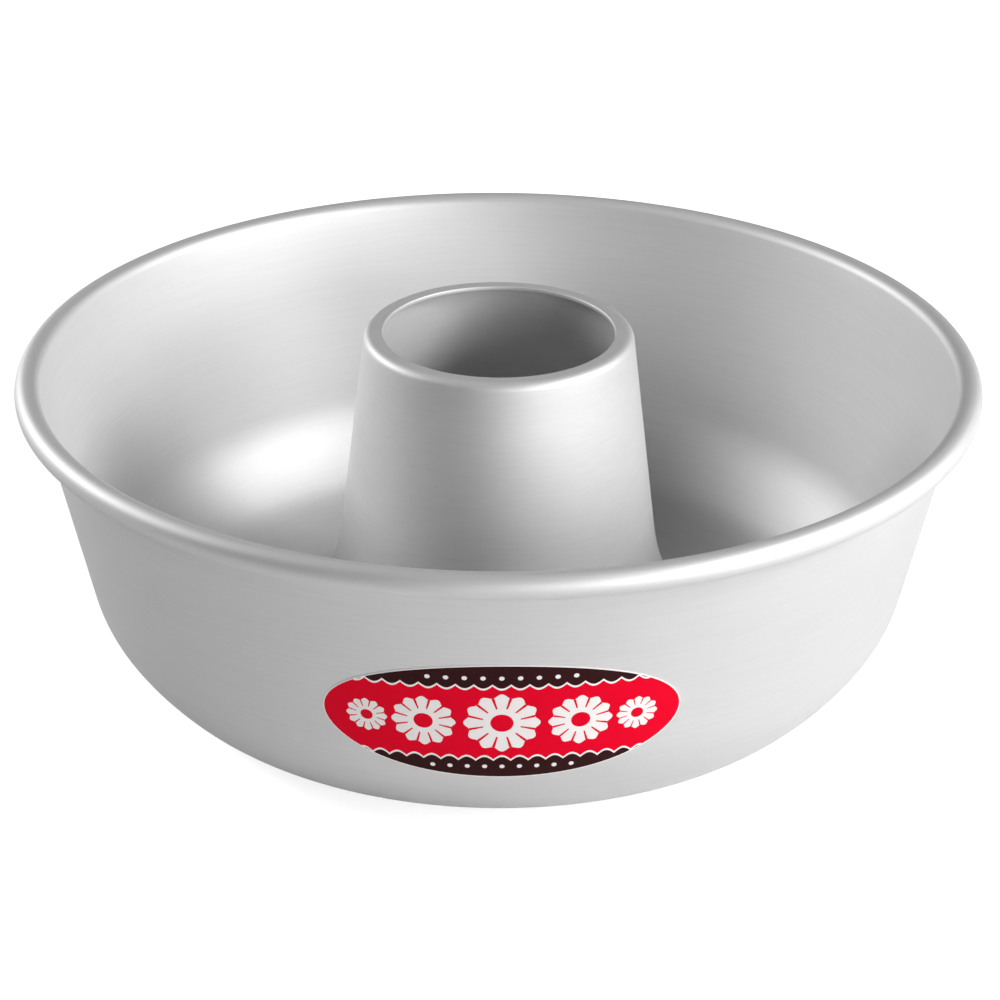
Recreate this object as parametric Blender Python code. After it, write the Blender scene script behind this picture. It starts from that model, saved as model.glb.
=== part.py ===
"""Ring cake pan: one spun sheet of aluminium with a rolled rim and a hollow centre tube, and an oval label.

Lengths are in metres, +Z is up, and the origin is the centre of the ring that the pan stands on.
The label faces -Y. The food side is the side of the sheet that holds the batter, and the outer side is the other.
"""

import math

import bmesh
import bpy
from mathutils import Vector

MM = 0.001

# Sheet
SHEET_THICKNESS = 1.3 * MM

# Rim: the edge of the sheet, rolled outwards into a hollow bead
RIM_DIAMETER = 250.0 * MM
RIM_HEIGHT = 86.0 * MM
BEAD_DIAMETER = 6.6 * MM
BEAD_GAP = 0.4 * MM  # left open between the rolled edge and the wall

# Outer wall, and the quarter ellipse that turns it into the floor
WALL_TAPER = math.radians(12.0)
CORNER_WIDTH = 33.6 * MM
CORNER_HEIGHT = 37.2 * MM

# Floor: the flat ring at the bottom of the trough, which the pan stands on
FLOOR_WIDTH = 4.0 * MM

# Centre tube, the lip turned in at its top, and the quarter ellipse at its foot
TUBE_HEIGHT = 93.0 * MM
TUBE_TOP_DIAMETER = 70.0 * MM
TUBE_HOLE_DIAMETER = 60.4 * MM
TUBE_EDGE_RADIUS = 2.4 * MM
TUBE_TAPER = math.radians(7.0)
FOOT_HEIGHT = 43.0 * MM

# Label: an oval on the front of the wall
LABEL_WIDTH = 85.4 * MM
LABEL_HEIGHT = 34.8 * MM
LABEL_CENTRE_HEIGHT = 41.1 * MM
LABEL_THICKNESS = 0.3 * MM
LABEL_GAP = 0.3 * MM

# Facets of the turned shell
TURN_STEPS = 72
EDGE_FACETS = 3
FOOT_FACETS = 7
CORNER_FACETS = 8
BEAD_FACETS = 12

# Facets of the label
LABEL_FACETS_ACROSS = 18
LABEL_FACETS_UP = 10

# Shading: an edge that turns more than this shows as a crease
CREASE_ANGLE = math.radians(40.0)


def clear_scene():
    for obj in list(bpy.data.objects):
        bpy.data.objects.remove(obj, do_unlink=True)


def make_material(name, colour, roughness, metallic):
    material = bpy.data.materials.new(name)
    material.use_nodes = True
    surface = material.node_tree.nodes["Principled BSDF"]
    surface.inputs["Base Color"].default_value = (*colour, 1.0)
    surface.inputs["Roughness"].default_value = roughness
    surface.inputs["Metallic"].default_value = metallic
    material.diffuse_color = (*colour, 1.0)
    return material


def add_object(name, mesh, material):
    mesh.shade_smooth()
    mesh.set_sharp_from_angle(angle=CREASE_ANGLE)
    mesh.materials.append(material)
    obj = bpy.data.objects.new(name, mesh)
    bpy.context.scene.collection.objects.link(obj)
    return obj


def heading(angle):
    """The unit vector at this angle above the outward radial direction."""
    return Vector((math.cos(angle), math.sin(angle)))


def ellipse_arc(centre, width, height, start, end, facets, inside):
    """Stations along an ellipse, each a point and the food side's normal, between two angles of its normal.

    width and height are its half axes. With inside, the food is on the side of the ellipse's centre.
    """
    stations = []
    for i in range(facets + 1):
        normal = heading(start + (end - start) * i / facets)
        reach = math.hypot(width * normal.x, height * normal.y)
        point = centre + Vector((width * width * normal.x, height * height * normal.y)) / reach
        stations.append((point, -normal if inside else normal))
    return stations


def tube_stations():
    """From the edge of the hole, over the lip and the rounded edge, down the tube and its foot to the floor."""
    lip_start = Vector((TUBE_HOLE_DIAMETER / 2, TUBE_HEIGHT))
    edge_height = TUBE_HEIGHT - TUBE_EDGE_RADIUS
    edge_radius = tube_radius(edge_height) - TUBE_EDGE_RADIUS / math.cos(TUBE_TAPER)
    edge = ellipse_arc(
        Vector((edge_radius, edge_height)),
        TUBE_EDGE_RADIUS,
        TUBE_EDGE_RADIUS,
        math.pi / 2,
        TUBE_TAPER,
        EDGE_FACETS,
        inside=False,
    )
    foot_centre = Vector((floor_outer_radius() - FLOOR_WIDTH, SHEET_THICKNESS + FOOT_HEIGHT))
    # The ellipse's width follows from touching the tube: its reach towards the tube is the distance to it.
    room = foot_centre.x - tube_radius(foot_centre.y)
    foot_width = math.sqrt(room**2 - (FOOT_HEIGHT * math.tan(TUBE_TAPER)) ** 2)
    foot = ellipse_arc(
        foot_centre,
        foot_width,
        FOOT_HEIGHT,
        math.pi + TUBE_TAPER,
        1.5 * math.pi,
        FOOT_FACETS,
        inside=True,
    )
    return [(lip_start, heading(math.pi / 2)), *edge, *foot]


def tube_radius(height):
    """The radius of the tube's tapered food side at a height, as if it ran on to the tube's top."""
    return TUBE_TOP_DIAMETER / 2 + (TUBE_HEIGHT - height) * math.tan(TUBE_TAPER)


def bead_centre():
    bead_radius = BEAD_DIAMETER / 2
    return Vector((RIM_DIAMETER / 2 - bead_radius, RIM_HEIGHT - bead_radius))


def wall_radius(height):
    """The radius of the wall's food side at a height. The wall runs up into the inner side of the bead."""
    centre = bead_centre()
    level_radius = centre.x - BEAD_DIAMETER / 2 / math.cos(WALL_TAPER)
    return level_radius + (height - centre.y) * math.tan(WALL_TAPER)


def floor_outer_radius():
    """The radius at which the corner meets the flat floor."""
    corner_level = SHEET_THICKNESS + CORNER_HEIGHT
    reach = math.hypot(CORNER_WIDTH, CORNER_HEIGHT * math.tan(WALL_TAPER))
    return wall_radius(corner_level) - reach


def wall_stations():
    """From the floor, round the corner, up the wall and round the bead to the rolled edge."""
    corner = ellipse_arc(
        Vector((floor_outer_radius(), SHEET_THICKNESS + CORNER_HEIGHT)),
        CORNER_WIDTH,
        CORNER_HEIGHT,
        -math.pi / 2,
        -WALL_TAPER,
        CORNER_FACETS,
        inside=True,
    )
    bead_radius = BEAD_DIAMETER / 2
    wall_side = math.pi - WALL_TAPER
    # The edge stops where the bead would come within the gap of the wall's outer side.
    stop_short = math.acos((bead_radius - SHEET_THICKNESS - BEAD_GAP) / bead_radius)
    bead = ellipse_arc(
        bead_centre(),
        bead_radius,
        bead_radius,
        wall_side,
        wall_side - 2 * math.pi + stop_short,
        BEAD_FACETS,
        inside=False,
    )
    return corner + bead


def outer_side(stations):
    """The points of the sheet's outer side, one under each station of its food side."""
    return [point - SHEET_THICKNESS * normal for point, normal in stations]


def make_shell(material):
    """The sheet's section, turned once round the Z axis."""
    stations = tube_stations() + wall_stations()
    outline = [point for point, _ in stations] + outer_side(stations)[::-1]
    bm = bmesh.new()
    corners = [bm.verts.new((point.x, 0.0, point.y)) for point in outline]
    edges = [bm.edges.new((corners[i - 1], corners[i])) for i in range(len(corners))]
    bmesh.ops.spin(
        bm,
        geom=corners + edges,
        cent=(0.0, 0.0, 0.0),
        axis=(0.0, 0.0, 1.0),
        angle=2 * math.pi,
        steps=TURN_STEPS,
        use_merge=True,
    )
    bmesh.ops.recalc_face_normals(bm, faces=bm.faces)
    mesh = bpy.data.meshes.new("pan_shell")
    bm.to_mesh(mesh)
    bm.free()
    return add_object("pan_shell", mesh, material)


def walk_up(points, start_height, distance):
    """The point and the outward normal at a distance along a rising line of points.

    The distance is measured from start_height, and a negative one goes down.
    """
    legs = list(zip(points, points[1:]))
    left = distance
    for low, high in legs:
        share_below_start = (start_height - low.y) / (high.y - low.y)
        left += (high - low).length * min(max(share_below_start, 0.0), 1.0)
    for low, high in legs:
        length = (high - low).length
        if left <= length or high is points[-1]:
            along = (high - low) / length
            return low + along * left, Vector((along.y, -along.x))
        left -= length


def make_label(material):
    """A thin oval bent round the wall: a square grid pushed into an oval, laid on the wall and thickened."""
    stations_up_to_the_bead = wall_stations()[: CORNER_FACETS + 2]
    wall = outer_side(stations_up_to_the_bead)
    centre_radius = walk_up(wall, LABEL_CENTRE_HEIGHT, 0.0)[0].x
    bm = bmesh.new()
    bmesh.ops.create_grid(
        bm, x_segments=LABEL_FACETS_ACROSS, y_segments=LABEL_FACETS_UP, size=1.0
    )
    for vertex in bm.verts:
        x, y, _ = vertex.co
        across = x * math.sqrt(1.0 - y * y / 2) * LABEL_WIDTH / 2
        up = y * math.sqrt(1.0 - x * x / 2) * LABEL_HEIGHT / 2
        point, normal = walk_up(wall, LABEL_CENTRE_HEIGHT, up)
        point = point + normal * LABEL_GAP
        turn = across / centre_radius
        vertex.co = (point.x * math.sin(turn), -point.x * math.cos(turn), point.y)
    mesh = bpy.data.meshes.new("label")
    bm.to_mesh(mesh)
    bm.free()
    label = add_object("label", mesh, material)
    thickness = label.modifiers.new("thickness", "SOLIDIFY")
    thickness.thickness = LABEL_THICKNESS
    thickness.offset = 1.0
    return label


def main():
    clear_scene()
    aluminium = make_material("satin_anodised_aluminium", (0.62, 0.63, 0.64), 0.42, 1.0)
    printed_paper = make_material("printed_label_paper", (0.70, 0.01, 0.03), 0.45, 0.0)
    make_shell(aluminium)
    make_label(printed_paper)


main()
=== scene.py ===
# %% [markdown]
# # A ring cake pan in satin anodised aluminium
#
# This pan is one sheet of aluminium. A press draws the sheet into a ring-shaped trough with a hollow
# tube in the middle, a roller curls its edge outwards, and an acid bath gives it a grey satin skin.
# An oval paper label sticks to the front of the wall.
#
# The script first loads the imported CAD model. That model fixes where everything is, and physics uses
# it. We then build the pieces that the eye sees, in the same place but much finer.

# %% Load the CAD model
import math

import bpy
from mathutils import Matrix, Vector


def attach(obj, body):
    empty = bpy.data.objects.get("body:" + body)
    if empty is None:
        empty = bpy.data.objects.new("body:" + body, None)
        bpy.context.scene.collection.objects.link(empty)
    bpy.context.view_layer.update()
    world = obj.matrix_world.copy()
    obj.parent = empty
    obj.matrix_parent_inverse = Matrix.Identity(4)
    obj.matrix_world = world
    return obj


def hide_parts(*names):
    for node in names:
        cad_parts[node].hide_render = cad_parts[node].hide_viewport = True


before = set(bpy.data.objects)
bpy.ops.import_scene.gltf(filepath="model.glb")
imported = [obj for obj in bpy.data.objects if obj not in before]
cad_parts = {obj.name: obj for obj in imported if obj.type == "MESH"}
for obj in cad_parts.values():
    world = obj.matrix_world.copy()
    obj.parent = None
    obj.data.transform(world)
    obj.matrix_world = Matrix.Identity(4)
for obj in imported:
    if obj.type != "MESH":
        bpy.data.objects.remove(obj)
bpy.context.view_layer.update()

MM = 0.001

# %% [markdown]
# ## Two helpers
#
# Colours are written as a designer writes them, in sRGB hex. Blender's shaders calculate in linear
# light, so one function turns hex into linear numbers. Materials are trees of nodes, and one small
# function adds a node: it sets the node's properties, and each of its inputs gets either a number or
# a link from another node's output.

# %% Helpers


def linear(hex_colour):
    """A hex colour as linear red, green, blue and alpha."""
    channels = [int(hex_colour[i : i + 2], 16) / 255 for i in (1, 3, 5)]
    return (*[c / 12.92 if c <= 0.04045 else ((c + 0.055) / 1.055) ** 2.4 for c in channels], 1.0)


def add_node(tree, kind, inputs, **settings):
    """Adds a shader node, sets its properties, and fills its inputs with numbers or links."""
    node = tree.nodes.new("ShaderNode" + kind)
    for name, value in settings.items():
        setattr(node, name, value)
    for key, value in inputs.items():
        if isinstance(value, bpy.types.NodeSocket):
            tree.links.new(value, node.inputs[key])
        else:
            node.inputs[key].default_value = value
    return node


print("grey 808080 in linear light:", round(linear("#808080")[0], 3))

# %% [markdown]
# ## Camera
#
# The pan was photographed from a little over a quarter of the way up to straight above, with a long
# lens that keeps the rim's ellipse calm. A 100.8 mm lens on a 36 mm sensor is a focal length of
# 2800 pixels in a picture 1000 pixels wide. The camera leans by a third of a degree, so the pan
# hangs very slightly to the right, as it does in the picture. It also stands two thirds of a degree
# round to the left, so the label comes a little to the right of the pan's middle.

# %% Camera
LENS = 100.8
SENSOR_WIDTH = 36.0
CLIP_START = 0.05
CAMERA_PLACE = Vector((0.53, -670.6, 376.1)) * MM
LOOK_DOWN = math.radians(26.36)
LEAN = math.radians(0.327)
ROUND = math.radians(-0.66)

camera_data = bpy.data.cameras.new("camera")
camera_data.lens = LENS
camera_data.sensor_width = SENSOR_WIDTH
camera_data.clip_start = CLIP_START
camera = bpy.data.objects.new("camera", camera_data)
bpy.context.scene.collection.objects.link(camera)
camera.matrix_world = (
    Matrix.Rotation(ROUND, 4, "Z")
    @ Matrix.Translation(CAMERA_PLACE)
    @ Matrix.Rotation(math.pi / 2 - LOOK_DOWN, 4, "X")
    @ Matrix.Rotation(LEAN, 4, "Z")
)
bpy.context.scene.camera = camera
print("camera", round(CAMERA_PLACE.length / MM), "mm from the pan's foot")

# %% [markdown]
# ## Table
#
# The pan stands on a white table that runs on to a white background. The table is matte paint, so it
# takes the pan's soft shadow. On top of the light that it gets, it glows for the rays that look at it:
# those from the camera, and those that the metal sends out. That gives a white background and adds no
# light to matte surfaces. The lamps hardly reach the far end of the table, so for the camera the glow
# rises to full white there. The metal sees a table that is only bright in the distance: in its
# reflections the glow fades out towards the pan, so the rolled rim keeps its dark line at the front.

# %% The table's glow, by the distance from the pan in metres
NEAR_GLOW = 0.75
FAR_GLOW = 1.0
CAMERA_RISE = {"From Min": 0.4, "From Max": 1.5, "To Min": NEAR_GLOW, "To Max": FAR_GLOW}
MIRROR_RISE = {"From Min": 0.13, "From Max": 3.5, "To Min": 0.0, "To Max": NEAR_GLOW}

table_paint = bpy.data.materials.new("matte_white_paint")
table_paint.use_nodes = True
tree = table_paint.node_tree
tree.nodes.clear()
ray = add_node(tree, "LightPath", {})
place = add_node(tree, "TexCoord", {}).outputs["Object"]
from_pan = add_node(tree, "VectorMath", {0: place}, operation="LENGTH").outputs["Value"]
to_camera, to_mirrors = [
    add_node(tree, "MapRange", {"Value": from_pan} | rise, interpolation_type="SMOOTHSTEP").outputs["Result"]
    for rise in (CAMERA_RISE, MIRROR_RISE)
]
mirror_ray = add_node(
    tree,
    "Math",
    {0: ray.outputs["Is Glossy Ray"], 1: ray.outputs["Is Transmission Ray"]},
    operation="MAXIMUM",
).outputs[0]
camera_glow = add_node(
    tree, "Math", {0: ray.outputs["Is Camera Ray"], 1: to_camera}, operation="MULTIPLY"
).outputs[0]
mirror_glow = add_node(tree, "Math", {0: mirror_ray, 1: to_mirrors}, operation="MULTIPLY").outputs[0]
glow = add_node(tree, "Math", {0: camera_glow, 1: mirror_glow}, operation="MAXIMUM").outputs[0]
print("the camera sees a glow of", NEAR_GLOW, "near the pan and", FAR_GLOW, "far away")

# %% The table's paint
TABLE_PAINT = "#E0E0E0"

paint = add_node(tree, "BsdfDiffuse", {"Color": linear(TABLE_PAINT)})
shine = add_node(tree, "Emission", {"Color": linear("#FFFFFF"), "Strength": glow})
glowing_paint = add_node(tree, "AddShader", {0: paint.outputs[0], 1: shine.outputs[0]})
add_node(tree, "OutputMaterial", {"Surface": glowing_paint.outputs[0]})

# The glow is no lamp, so Cycles isn't told to aim light rays at it.
table_paint.cycles.emission_sampling = "NONE"
print("nodes in the table's paint:", len(tree.nodes))

# %% The table's top
TABLE_WIDTH = 16.0
TABLE_DROP = 0.5 * MM

half = TABLE_WIDTH / 2
table_mesh = bpy.data.meshes.new("table")
table_mesh.from_pydata(
    [(-half, -half, 0), (half, -half, 0), (half, half, 0), (-half, half, 0)], [], [(0, 1, 2, 3)]
)
table_mesh.materials.append(table_paint)
table = bpy.data.objects.new("table", table_mesh)
table.location.z = -TABLE_DROP
bpy.context.scene.collection.objects.link(table)
print("table", TABLE_WIDTH, "m wide")

# %% [markdown]
# ## Lamps
#
# Satin metal has hardly any colour of its own: what we see on it is its surroundings, smeared out.
# So the lamps shape the picture. On the right stands a row of three softboxes, rising from the front
# to the back. Their smeared image is the bright patch at the left of the trough, which faces them,
# and the bright right side of the tube and the wall. A long low softbox at the back left answers
# them: it brightens the trough on the right and the far side of the bead. Everywhere else the room
# is dark, so the left side of the tube and the inside of its hole stay grey.

# %% World
world = bpy.data.worlds.new("dark_studio")
bpy.context.scene.world = world
world.use_nodes = True
world.node_tree.nodes.clear()
room = add_node(world.node_tree, "Background", {"Color": linear("#FFFFFF"), "Strength": 0.0})
add_node(world.node_tree, "OutputWorld", {"Surface": room.outputs[0]})
bpy.context.scene.view_settings.view_transform = "Standard"
print("the room's own light:", room.inputs["Strength"].default_value)

# %% Softboxes
AIM = Vector((0.0, 0.0, 50 * MM))

# Each softbox: degrees round and up, metres away, wide and high, the face's brightness, and degrees
# of roll. Round is counted from the camera's side to the right.
SOFTBOXES = {
    "front_right_softbox": (30.4, 14.0, 1.40, 0.55, 0.45, 9.76, 0.0),
    "right_softbox": (67.6, 26.0, 1.05, 0.35, 0.60, 9.91, -50.0),
    "far_right_softbox": (80.4, 34.0, 1.50, 0.40, 0.38, 18.5, 0.0),
    "back_left_softbox": (-113.4, 26.9, 1.13, 0.77, 0.28, 12.8, 0.0),
}


def softbox(name, round_degrees, up_degrees, distance, width, height, brightness, roll_degrees):
    """A flat rectangular lamp that faces the pan."""
    lamp = bpy.data.lights.new(name, "AREA")
    lamp.shape = "RECTANGLE"
    lamp.size = width
    lamp.size_y = height
    # With this power, the lamp's face is as bright as a surface of that strength.
    lamp.energy = brightness * math.pi * width * height
    around = Matrix.Rotation(math.radians(round_degrees), 4, "Z")
    upwards = Matrix.Rotation(-math.radians(up_degrees), 4, "X")
    roll = Matrix.Rotation(math.radians(roll_degrees), 4, "Z")
    way = around @ upwards @ Vector((0.0, -1.0, 0.0))
    facing = way.to_track_quat("Z", "Y").to_matrix().to_4x4()
    box = bpy.data.objects.new(name, lamp)
    box.matrix_world = Matrix.Translation(AIM + way * distance) @ facing @ roll
    bpy.context.scene.collection.objects.link(box)
    print(name, "gives", round(lamp.energy, 1), "W")


for name, measures in SOFTBOXES.items():
    softbox(name, *measures)

# %% [markdown]
# ## The pan's section
#
# A pan like this is a solid of revolution, so all of its shape is in one section: the outline that a
# saw would show. The sheet is the same thickness all over. We therefore draw only the side that
# touches the food, as points that each know which way the sheet faces, and get the other side by
# stepping one thickness back. Such a point and its direction are called a station here.
#
# The sizes are those of the CAD model, apart from the corner between the floor and the wall. The CAD
# model makes it a single ellipse. The real corner is a chain of bends: round at the floor, tight
# above it, then nearly flat, and round again into the wall. That is half a millimetre from the
# ellipse, and it matters because the metal's highlights follow it.

# %% Sizes of the sheet
SHEET = 1.3 * MM
RIM_RADIUS = 125.0 * MM
RIM_HEIGHT = 86.0 * MM
BEAD_RADIUS = 3.3 * MM
BEAD_GAP = 0.4 * MM
WALL_TAPER = math.radians(12.0)
TUBE_HEIGHT = 93.0 * MM
TUBE_TOP_RADIUS = 35.0 * MM
HOLE_RADIUS = 30.2 * MM
TUBE_EDGE_RADIUS = 2.4 * MM
TUBE_TAPER = math.radians(7.0)
FOOT_RADIUS = 70.41 * MM
FOOT_HEIGHT = 43.0 * MM
CORNER_RADIUS = 73.14 * MM
CUT_EDGE_RADIUS = 0.35 * MM

# Each bend: how far the sheet has turned up from the floor at its end, and its radius in mm.
CORNER_BENDS = ((26.3, 34.2), (44.9, 25.7), (58.5, 55.3), (78.0, 31.2))
print("the pan stands on a ring from", FOOT_RADIUS / MM, "to", CORNER_RADIUS / MM, "mm")

# %% The parts of a section: an ellipse's arc, a chain of bends, and a straight stretch


def arc(centre, width, height, start, end, steps, food_inside):
    """Points along an ellipse, each with the direction that the food side faces there."""
    stations = []
    for i in range(steps + 1):
        angle = math.radians(start + (end - start) * i / steps)
        facing = Vector((math.cos(angle), math.sin(angle)))
        reach = math.hypot(width * facing.x, height * facing.y)
        point = centre + Vector((width**2 * facing.x, height**2 * facing.y)) / reach
        stations.append((point, -facing if food_inside else facing))
    return stations


def chain_of_bends(start, bends, steps):
    """Points along round bends that follow each other without a kink, rising from a flat floor."""
    stations = []
    bend_start, turned = start, 0.0
    for turn_end, radius in bends:
        centre = bend_start + Vector((-math.sin(turned), math.cos(turned))) * radius * MM
        for i in range(steps + 1):
            angle = turned + (math.radians(turn_end) - turned) * i / steps
            facing = Vector((-math.sin(angle), math.cos(angle)))
            stations.append((centre - facing * radius * MM, facing))
        bend_start, turned = stations[-1][0], math.radians(turn_end)
    return stations


def straight(start, end, steps):
    """Points between two stations, without the stations themselves."""
    shares = [i / steps for i in range(1, steps)]
    return [(start[0].lerp(end[0], s), start[1].lerp(end[1], s).normalized()) for s in shares]


def tube_radius(height):
    """The radius of the tube's outside at a height, as if it ran straight on."""
    return TUBE_TOP_RADIUS + (TUBE_HEIGHT - height) * math.tan(TUBE_TAPER)


print("the tube's radius where its foot begins, in mm:", round(tube_radius(SHEET + FOOT_HEIGHT) / MM, 1))

# %% Where the rounds are, and how far they go
taper = math.degrees(TUBE_TAPER)
wall_lean = math.degrees(WALL_TAPER)
edge_height = TUBE_HEIGHT - TUBE_EDGE_RADIUS
edge_centre = Vector((tube_radius(edge_height) - TUBE_EDGE_RADIUS / math.cos(TUBE_TAPER), edge_height))
foot_centre = Vector((FOOT_RADIUS, SHEET + FOOT_HEIGHT))
bead_centre = Vector((RIM_RADIUS - BEAD_RADIUS, RIM_HEIGHT - BEAD_RADIUS))

# With this half width, the foot's ellipse touches the tube's slope without a kink.
foot_width = math.sqrt(
    (foot_centre.x - tube_radius(foot_centre.y)) ** 2 - (FOOT_HEIGHT * math.tan(TUBE_TAPER)) ** 2
)

# The curl stops where its cut edge comes within the gap of the wall's outer side.
curl_stop = math.degrees(math.acos((BEAD_RADIUS - SHEET - BEAD_GAP) / BEAD_RADIUS))
bead_start = 180 - wall_lean
bead_end = curl_stop - 180 - wall_lean
print("the bead turns through", round(bead_start - bead_end), "degrees")

# %% The section's food side, from the hole over the tube, the floor and the wall to the rolled edge
LIP_STEPS = 4
EDGE_STEPS = 10
FOOT_STEPS = 28
BEND_STEPS = 8
BEAD_STEPS = 40
STRAIGHT_STEPS = 12

lip = (Vector((HOLE_RADIUS, TUBE_HEIGHT)), Vector((0.0, 1.0)))
edge = arc(edge_centre, TUBE_EDGE_RADIUS, TUBE_EDGE_RADIUS, 90, taper, EDGE_STEPS, False)
foot = arc(foot_centre, foot_width, FOOT_HEIGHT, 180 + taper, 270, FOOT_STEPS, True)
corner = chain_of_bends(Vector((CORNER_RADIUS, SHEET)), CORNER_BENDS, BEND_STEPS)
bead = arc(bead_centre, BEAD_RADIUS, BEAD_RADIUS, bead_start, bead_end, BEAD_STEPS, False)
tube = straight(edge[-1], foot[0], STRAIGHT_STEPS)
wall = straight(corner[-1], bead[0], STRAIGHT_STEPS)

food_side = [lip, *straight(lip, edge[0], LIP_STEPS), *edge, *tube, *foot, *corner, *wall, *bead]
wall_way = bead[0][0] - corner[-1][0]
print("the wall leans", round(math.degrees(math.atan2(wall_way.x, wall_way.y)), 2), "degrees")

# %% [markdown]
# ## Turn the section
#
# A cut sheet never has a knife-sharp edge, so the outline gets a small round at both ends of the
# sheet. Then we turn it like a lathe: a copy of all its points every 1.4 degrees, joined by
# four-sided faces. The Screw modifier could do this too. Here we do it in code, because the mesh
# then gets a UV map in the same go, unrolled like a carpet: once round the pan from left to right,
# and once round the outline from bottom to top.

# %% The whole outline
CUT_EDGE_STEPS = 4
SAME_PLACE = 0.0001 * MM


def rounded_end(station, beyond):
    """Points round a cut end of the sheet, from its food side to its other side."""
    point, facing = station
    points = []
    for depth, first, second in (
        (CUT_EDGE_RADIUS, facing, beyond),
        (SHEET - CUT_EDGE_RADIUS, beyond, -facing),
    ):
        centre = point - facing * depth - beyond * CUT_EDGE_RADIUS
        for i in range(CUT_EDGE_STEPS + 1):
            angle = math.pi / 2 * i / CUT_EDGE_STEPS
            spoke = first * math.cos(angle) + second * math.sin(angle)
            points.append(centre + spoke * CUT_EDGE_RADIUS)
    return points


curl_facing = food_side[-1][1]
curl_beyond = Vector((curl_facing.y, -curl_facing.x))
outline = [point for point, _ in food_side[1:-1]]
outline += rounded_end(food_side[-1], curl_beyond)
outline += [point - facing * SHEET for point, facing in food_side[-2:0:-1]]
outline += rounded_end(lip, Vector((-1.0, 0.0)))[::-1]

# Neighbouring bends share a point. Only one of each such pair stays.
neighbours = zip(outline, outline[-1:] + outline[:-1])
outline = [here for here, before in neighbours if (here - before).length > SAME_PLACE]
print("points in the outline:", len(outline))

# %% The turned shell
TURN_STEPS = 256

points = [
    (point.x * math.cos(turn), point.x * math.sin(turn), point.y)
    for turn in (2 * math.pi * step / TURN_STEPS for step in range(TURN_STEPS))
    for point in outline
]
travelled = [0.0]
for here, there in zip(outline, outline[1:] + outline[:1]):
    travelled.append(travelled[-1] + (there - here).length)

count = len(outline)
faces = []
unrolled = []
for step in range(TURN_STEPS):
    ring, next_ring = step * count, (step + 1) % TURN_STEPS * count
    left, right = step / TURN_STEPS, (step + 1) / TURN_STEPS
    for i in range(count):
        j = (i + 1) % count
        low, high = travelled[i] / travelled[-1], travelled[i + 1] / travelled[-1]
        faces.append((ring + i, ring + j, next_ring + j, next_ring + i))
        unrolled += [(left, low), (left, high), (right, high), (right, low)]

shell_mesh = bpy.data.meshes.new("pan")
shell_mesh.from_pydata(points, [], faces)
shell_mesh.uv_layers.new(name="OFBake").data.foreach_set("uv", [v for uv in unrolled for v in uv])
shell_mesh.shade_smooth()
print("the shell has", len(faces), "faces")

# %% The shell takes the place of its CAD node
pan = bpy.data.objects.new("pan", shell_mesh)
bpy.context.scene.collection.objects.link(pan)
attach(pan, "root")
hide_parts("pan_shell")
print(pan.name, "measures", [round(v / MM, 1) for v in pan.dimensions], "mm")

# %% [markdown]
# ## Satin anodised aluminium
#
# The sheet is shaped on a turning former, so its finest marks run round the pan. Then it is etched in
# an acid bath, which makes it matte all over, and anodised: its skin becomes a clear, hard oxide that
# scatters a good part of the light by itself. To the eye that is a pale neutral grey, neither paint
# nor mirror, with wide soft highlights and nothing sharp in it.
#
# In the shader, a metallic value well under 1 is the oxide's own scatter beside the metal's shine,
# and a high roughness spreads that shine evenly. Noise that is stretched round the pan gives the
# faint turning lines, and fine even noise gives the etched grain.

# %% The metal's base values
METAL_GREY = "#DFDFDF"
METALLIC = 0.6
ROUGHNESS = 0.6

anodised = bpy.data.materials.new("satin_anodised_aluminium")
anodised.use_nodes = True
tree = anodised.node_tree
metal = tree.nodes["Principled BSDF"]
metal.inputs["Metallic"].default_value = METALLIC
shell_mesh.materials.append(anodised)
print("metal", METAL_GREY, "metallic", METALLIC, "roughness", ROUGHNESS)

# %% Turning lines: noise that is 0.7 mm wide, and about 20 mm long at the wall
LINE_WIDTH = 0.7 * MM
LINE_LENGTH = 20 * MM
MIDDLE_RADIUS = 100 * MM

# The noise is read at the way out from the axis, the height and, as its fourth number, the radius.
# Along the first it changes slowly, and along the other two it changes at every line.
place = add_node(tree, "TexCoord", {}).outputs["Object"]
parts = add_node(tree, "SeparateXYZ", {0: place})
level = add_node(tree, "CombineXYZ", {"X": parts.outputs["X"], "Y": parts.outputs["Y"]}).outputs[0]
from_axis = add_node(tree, "VectorMath", {0: level}, operation="LENGTH").outputs["Value"]
way_out = add_node(tree, "VectorMath", {0: level}, operation="NORMALIZE").outputs[0]
height = add_node(tree, "CombineXYZ", {"Z": parts.outputs["Z"]}).outputs[0]
unrolled_place = add_node(tree, "VectorMath", {0: way_out, 1: height}, operation="ADD").outputs[0]
lines_round = MIDDLE_RADIUS / LINE_LENGTH
stretched = add_node(
    tree,
    "VectorMath",
    {0: unrolled_place, 1: (lines_round, lines_round, 1 / LINE_WIDTH)},
    operation="MULTIPLY",
).outputs[0]
lines_out = add_node(tree, "Math", {0: from_axis, 1: 1 / LINE_WIDTH}, operation="MULTIPLY").outputs[0]
lines = add_node(
    tree,
    "TexNoise",
    {"Vector": stretched, "W": lines_out, "Scale": 1.0, "Detail": 2.0, "Roughness": 0.6},
    noise_dimensions="4D",
).outputs["Fac"]
print("turning lines:", round(1 / (LINE_WIDTH / MM), 1), "per mm across")

# %% Etched grain, and soft clouds where the bath worked a little unevenly
# Real etch pits are about 0.05 mm wide. They are drawn at 0.3 mm, the smallest that the picture shows.
GRAIN = 0.3 * MM
CLOUDS = 25 * MM

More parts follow.
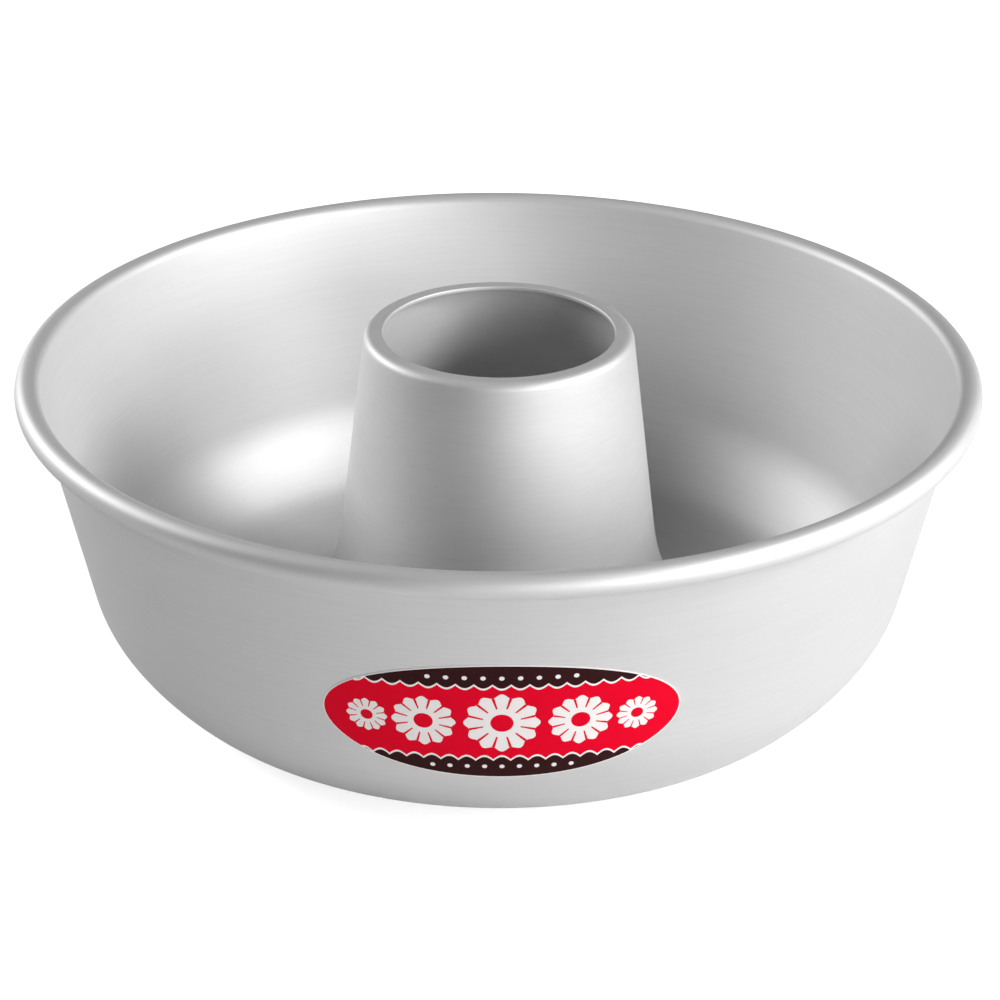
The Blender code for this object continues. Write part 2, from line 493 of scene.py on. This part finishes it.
grain = add_node(tree, "TexNoise", {"Vector": place, "Scale": 1 / GRAIN, "Detail": 1.0}).outputs["Fac"]
clouds = add_node(tree, "TexNoise", {"Vector": place, "Scale": 1 / CLOUDS, "Detail": 3.0}).outputs["Fac"]
print("grain", GRAIN / MM, "mm, clouds", CLOUDS / MM, "mm")

# %% What the lines, the grain and the clouds do to the metal's colour
# On a Mix node, socket 0 is the share. Numbers go to sockets 2 and 3, and colours to 6 and 7.
GRAIN_SHARE = 0.35
TONE_CHANGE = 0.08
CLOUD_CHANGE = 0.015

marks = add_node(tree, "Mix", {0: GRAIN_SHARE, 2: lines, 3: grain}, data_type="FLOAT").outputs[0]
mark_tone, cloud_tone = [
    add_node(tree, "MapRange", {"Value": noise, "To Min": 1 - change, "To Max": 1 + change}).outputs["Result"]
    for noise, change in ((marks, TONE_CHANGE), (clouds, CLOUD_CHANGE))
]
tone = add_node(tree, "Math", {0: mark_tone, 1: cloud_tone}, operation="MULTIPLY").outputs[0]
grey = add_node(
    tree, "Mix", {0: 1.0, 6: linear(METAL_GREY), 7: tone}, data_type="RGBA", blend_type="MULTIPLY"
).outputs[2]
tree.links.new(grey, metal.inputs["Base Color"])
print("the marks change the grey by", 100 * TONE_CHANGE, "percent, the clouds by", 100 * CLOUD_CHANGE)

# %% What they do to its roughness and its relief
ROUGHNESS_CHANGE = 0.05
MARK_DEPTH = 0.02 * MM
MARK_STRENGTH = 0.25

roughness = add_node(
    tree,
    "MapRange",
    {"Value": marks, "To Min": ROUGHNESS - ROUGHNESS_CHANGE, "To Max": ROUGHNESS + ROUGHNESS_CHANGE},
).outputs["Result"]
tree.links.new(roughness, metal.inputs["Roughness"])
relief = add_node(
    tree, "Bump", {"Height": marks, "Strength": MARK_STRENGTH, "Distance": MARK_DEPTH}
).outputs["Normal"]
tree.links.new(relief, metal.inputs["Normal"])
print("nodes in the metal:", len(tree.nodes))

# %% [markdown]
# ## The label
#
# The label is a printed oval, die-cut from coated paper and stuck on by hand, half a degree askew.
# Its mesh is an oval drawn on the unrolled wall and then wrapped round it: each point goes across by
# an angle round the pan and up by a distance along the wall. Every point also stores its flat place
# in millimetres, and the print is drawn from that.

# %% A place on the wall
LABEL_HALF_WIDTH = 42.9 * MM
LABEL_HALF_HEIGHT = 17.9 * MM
LABEL_CENTRE_HEIGHT = 40.95 * MM
LABEL_TILT = math.radians(0.5)
LABEL_LIFT = 0.05 * MM
LABEL_PAPER = 0.12 * MM

# The wall's outer side as short straight pieces, from bottom to top. Those of no length are left out.
wall_line = [(point - facing * SHEET, -facing) for point, facing in (*corner, *wall, bead[0])]
wall_pieces = [(low, high) for low, high in zip(wall_line, wall_line[1:]) if high[0].y > low[0].y]


def on_wall(distance):
    """The point at a distance up the wall's outer side from the label's centre, and the way out there."""
    to_go = distance
    for (low, _), (high, _) in wall_pieces:
        below_centre = min(max((LABEL_CENTRE_HEIGHT - low.y) / (high.y - low.y), 0.0), 1.0)
        to_go += (high - low).length * below_centre
    for (low, out_low), (high, out_high) in wall_pieces:
        length = (high - low).length
        if to_go <= length:
            share = to_go / length
            return low.lerp(high, share), out_low.lerp(out_high, share).normalized()
        to_go -= length


label_radius = on_wall(0.0)[0].x


def wrapped(across, up, lift):
    """A flat place on the label, wrapped round the wall and lifted off it."""
    place, out = on_wall(up)
    place = place + out * lift
    turn = across / label_radius
    return (place.x * math.sin(turn), -place.x * math.cos(turn), place.y)


print("the label's middle is", round(label_radius / MM, 1), "mm from the pan's axis")

# %% The label's points
LABEL_RINGS = 14
LABEL_SPOKES = 112

flat_points = [(0.0, 0.0)]
for ring in range(1, LABEL_RINGS + 1):
    for spoke in range(LABEL_SPOKES):
        angle = 2 * math.pi * spoke / LABEL_SPOKES
        across = LABEL_HALF_WIDTH * ring / LABEL_RINGS * math.cos(angle)
        up = LABEL_HALF_HEIGHT * ring / LABEL_RINGS * math.sin(angle)
        flat_points.append((across, up))
tilt_x, tilt_y = math.cos(LABEL_TILT), math.sin(LABEL_TILT)
tilted = [(x * tilt_x - y * tilt_y, x * tilt_y + y * tilt_x) for x, y in flat_points]
label_points = [wrapped(x, y, LABEL_LIFT + LABEL_PAPER) for x, y in tilted]
label_points += [wrapped(x, y, LABEL_LIFT) for x, y in tilted]
print("the label's mesh has", len(label_points), "points")

# %% The label's faces: the front, the back, and the cut edge between them
SHARP_ANGLE = math.radians(40.0)

front_faces = []
for spoke in range(LABEL_SPOKES):
    after = (spoke + 1) % LABEL_SPOKES
    front_faces.append((0, 1 + spoke, 1 + after))
    for ring in range(LABEL_RINGS - 1):
        inner, outer = 1 + ring * LABEL_SPOKES, 1 + (ring + 1) * LABEL_SPOKES
        front_faces.append((inner + spoke, outer + spoke, outer + after, inner + after))
back_faces = [tuple(len(flat_points) + v for v in reversed(face)) for face in front_faces]
edge_start = 1 + (LABEL_RINGS - 1) * LABEL_SPOKES
edge_faces = []
for spoke in range(LABEL_SPOKES):
    here, there = edge_start + spoke, edge_start + (spoke + 1) % LABEL_SPOKES
    edge_faces.append((here, len(flat_points) + here, len(flat_points) + there, there))

label_mesh = bpy.data.meshes.new("label_print")
label_mesh.from_pydata(label_points, [], front_faces + back_faces + edge_faces)
flat_places = label_mesh.attributes.new("flat_mm", "FLOAT_VECTOR", "POINT")
both_sides = flat_points + flat_points
flat_places.data.foreach_set("vector", [v for x, y in both_sides for v in (x / MM, y / MM, 0.0)])
label_mesh.shade_smooth()
label_mesh.set_sharp_from_angle(angle=SHARP_ANGLE)
print("the label has", len(label_mesh.polygons), "faces")

# %% The label's UV map: the front below, the back above it, and the cut edge along the top
UV_SCALE = 0.48 / LABEL_HALF_WIDTH
FRONT_MIDDLE = 0.22
BACK_MIDDLE = 0.68
EDGE_LOW = 0.97
EDGE_HIGH = 0.99

label_map = label_mesh.uv_layers.new(name="OFBake")
for face in label_mesh.polygons:
    for loop in face.loop_indices:
        vertex = label_mesh.loops[loop].vertex_index
        x, y = flat_points[vertex % len(flat_points)]
        u = 0.5 + x * UV_SCALE
        if face.index < len(front_faces):
            v = FRONT_MIDDLE + y * UV_SCALE
        elif face.index < len(front_faces) + len(back_faces):
            v = BACK_MIDDLE + y * UV_SCALE
        else:
            v = EDGE_LOW if vertex < len(flat_points) else EDGE_HIGH
        label_map.data[loop].uv = (u, v)
print("the label's map has", len(label_map.data), "corners")

# %% The label takes the place of its CAD node
label = bpy.data.objects.new("label_print", label_mesh)
bpy.context.scene.collection.objects.link(label)
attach(label, "root")
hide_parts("label")
print(label.name, "measures", [round(v / MM, 1) for v in label.dimensions], "mm")

# %% [markdown]
# ## The label's print
#
# Offset printing lays thin, even inks over the paper one after the other: here red, then black, and
# the paper itself is the white. The inks are matte under a low sheen, so they keep their full colour
# in bright light. In the shader, each shape is a mask that is 1 inside and 0 outside, worked out from
# the flat place in millimetres, and each mask mixes its ink over what lies below it.

# %% Printed paper
INK_ROUGHNESS = 0.55
INK_SHEEN = 0.05

printed = bpy.data.materials.new("offset_printed_paper")
printed.use_nodes = True
tree = printed.node_tree
ink = tree.nodes["Principled BSDF"]
ink.inputs["Roughness"].default_value = INK_ROUGHNESS
ink.inputs["Specular IOR Level"].default_value = INK_SHEEN
label_mesh.materials.append(printed)
print("ink roughness", INK_ROUGHNESS, "and sheen", INK_SHEEN)

# %% The red face, with a narrow border of bare paper along the cut edge
RED, BLACK, PAPER = "#EA0029", "#351718", "#F8F4F3"
BORDER = 0.3

flat_mm = add_node(tree, "Attribute", {}, attribute_type="GEOMETRY", attribute_name="flat_mm")
flat_place = flat_mm.outputs["Vector"]

# The print is the same left and right, above and below, so all of it is drawn in one quarter.
quarter = add_node(tree, "VectorMath", {0: flat_place}, operation="ABSOLUTE").outputs[0]
sides = add_node(tree, "SeparateXYZ", {0: quarter})
half_sizes = (LABEL_HALF_WIDTH / MM - BORDER, LABEL_HALF_HEIGHT / MM - BORDER, 1.0)
oval = add_node(tree, "VectorMath", {0: quarter, 1: half_sizes}, operation="DIVIDE").outputs[0]
oval_reach = add_node(tree, "VectorMath", {0: oval}, operation="LENGTH").outputs["Value"]
inside_border = add_node(tree, "Math", {0: oval_reach, 1: 1.0}, operation="LESS_THAN").outputs[0]
layers = [(inside_border, RED)]
print("inks:", RED, BLACK, "on paper", PAPER)

# %% Two black caps, above and below, with a scalloped edge like a paper doily and a pale line along it
CAP_EDGE = 10.2
CAP_LINE = 0.6
SCALLOP = 4.2
SCALLOP_DEPTH = 1.3

turns = add_node(
    tree, "Math", {0: sides.outputs["X"], 1: math.pi / SCALLOP}, operation="MULTIPLY"
).outputs[0]
wave = add_node(tree, "Math", {0: turns}, operation="COSINE").outputs[0]
bulge = add_node(tree, "Math", {0: wave}, operation="ABSOLUTE").outputs[0]
edge_line = add_node(
    tree, "Math", {0: bulge, 1: -SCALLOP_DEPTH, 2: CAP_EDGE + SCALLOP_DEPTH}, operation="MULTIPLY_ADD"
).outputs[0]
above = add_node(tree, "Math", {0: sides.outputs["Y"], 1: edge_line}, operation="SUBTRACT").outputs[0]
for start, colour in ((0.0, PAPER), (CAP_LINE, BLACK)):
    over = add_node(tree, "Math", {0: above, 1: start}, operation="GREATER_THAN").outputs[0]
    in_cap = add_node(tree, "Math", {0: over, 1: inside_border}, operation="MULTIPLY").outputs[0]
    layers.append((in_cap, colour))
print("masks so far:", len(layers))

# %% A row of pale dots in each cap
DOT_SPACING = 4.2
DOT_ROW = 13.9
DOT_RADIUS = 0.62
DOTS_END = 4.5 * DOT_SPACING

along = add_node(
    tree, "Math", {0: sides.outputs["X"], 1: DOT_SPACING / 2, 2: -DOT_SPACING / 2}, operation="WRAP"
).outputs[0]
beside = add_node(tree, "Math", {0: sides.outputs["Y"], 1: DOT_ROW}, operation="SUBTRACT").outputs[0]
to_dot = add_node(tree, "CombineXYZ", {0: along, 1: beside}).outputs[0]
dot_reach = add_node(tree, "VectorMath", {0: to_dot}, operation="LENGTH").outputs["Value"]
in_dot = add_node(tree, "Math", {0: dot_reach, 1: DOT_RADIUS}, operation="LESS_THAN").outputs[0]
in_row = add_node(tree, "Math", {0: sides.outputs["X"], 1: DOTS_END}, operation="LESS_THAN").outputs[0]
dots = add_node(tree, "Math", {0: in_dot, 1: in_row}, operation="MULTIPLY").outputs[0]
layers.append((dots, PAPER))
print("masks so far:", len(layers))

# %% Five fluted ring cakes, seen from above, along the middle
# Each cake's middle and radius in mm. One off the middle appears on both sides.
CAKES = ((0.0, 9.0), (18.4, 7.6), (32.0, 5.0))
FLUTES = 12

# These are shares of a cake's radius.
FLUTE_DEPTH = 0.06
GROOVE_START = 0.5
GROOVE_END = 0.88
HOLE_SIZE = 0.3

# The flutes are a cosine round the cake. Below this value of it, near its valleys, runs a groove.
GROOVE_BELOW = -0.86

for middle, radius in CAKES:
    from_middle = add_node(
        tree, "VectorMath", {0: quarter, 1: (middle, 0.0, 0.0)}, operation="SUBTRACT"
    ).outputs[0]
    axes = add_node(tree, "SeparateXYZ", {0: from_middle})
    reach = add_node(tree, "VectorMath", {0: from_middle}, operation="LENGTH").outputs["Value"]
    turn = add_node(
        tree, "Math", {0: axes.outputs["Y"], 1: axes.outputs["X"]}, operation="ARCTAN2"
    ).outputs[0]
    turns = add_node(tree, "Math", {0: turn, 1: FLUTES}, operation="MULTIPLY").outputs[0]
    flute = add_node(tree, "Math", {0: turns}, operation="COSINE").outputs[0]
    rim = add_node(
        tree,
        "Math",
        {0: flute, 1: FLUTE_DEPTH * radius, 2: (1 - FLUTE_DEPTH) * radius},
        operation="MULTIPLY_ADD",
    ).outputs[0]
    cake = add_node(tree, "Math", {0: reach, 1: rim}, operation="LESS_THAN").outputs[0]
    hole = add_node(tree, "Math", {0: reach, 1: HOLE_SIZE * radius}, operation="LESS_THAN").outputs[0]
    valley = add_node(tree, "Math", {0: flute, 1: GROOVE_BELOW}, operation="LESS_THAN").outputs[0]
    past_start = add_node(
        tree, "Math", {0: reach, 1: GROOVE_START * radius}, operation="GREATER_THAN"
    ).outputs[0]
    before_end = add_node(
        tree, "Math", {0: reach, 1: GROOVE_END * radius}, operation="LESS_THAN"
    ).outputs[0]
    band = add_node(tree, "Math", {0: past_start, 1: before_end}, operation="MULTIPLY").outputs[0]
    grooves = add_node(tree, "Math", {0: valley, 1: band}, operation="MULTIPLY").outputs[0]
    layers += [(cake, PAPER), (grooves, RED), (hole, RED)]
print("masks in all:", len(layers))

# %% Lay the inks over the paper one after the other
print_colour = linear(PAPER)
for mask, colour in layers:
    laid = add_node(tree, "Mix", {0: mask, 6: print_colour, 7: linear(colour)}, data_type="RGBA")
    print_colour = laid.outputs[2]
print("inks laid:", len(layers))

# %% The paper's clumps of fibre, 0.4 mm wide, let it take up the ink a little unevenly
FIBRES = 0.4
INK_CHANGE = 0.03
FIBRE_DEPTH = 0.02 * MM
FIBRE_STRENGTH = 0.15

fibres = add_node(
    tree, "TexNoise", {"Vector": flat_place, "Scale": 1 / FIBRES, "Detail": 3.0}
).outputs["Fac"]
tone = add_node(
    tree, "MapRange", {"Value": fibres, "To Min": 1 - INK_CHANGE, "To Max": 1 + INK_CHANGE}
).outputs["Result"]
toned = add_node(
    tree, "Mix", {0: 1.0, 6: print_colour, 7: tone}, data_type="RGBA", blend_type="MULTIPLY"
).outputs[2]
tree.links.new(toned, ink.inputs["Base Color"])
relief = add_node(
    tree, "Bump", {"Height": fibres, "Strength": FIBRE_STRENGTH, "Distance": FIBRE_DEPTH}
).outputs["Normal"]
tree.links.new(relief, ink.inputs["Normal"])
print("nodes in the printed paper:", len(tree.nodes))
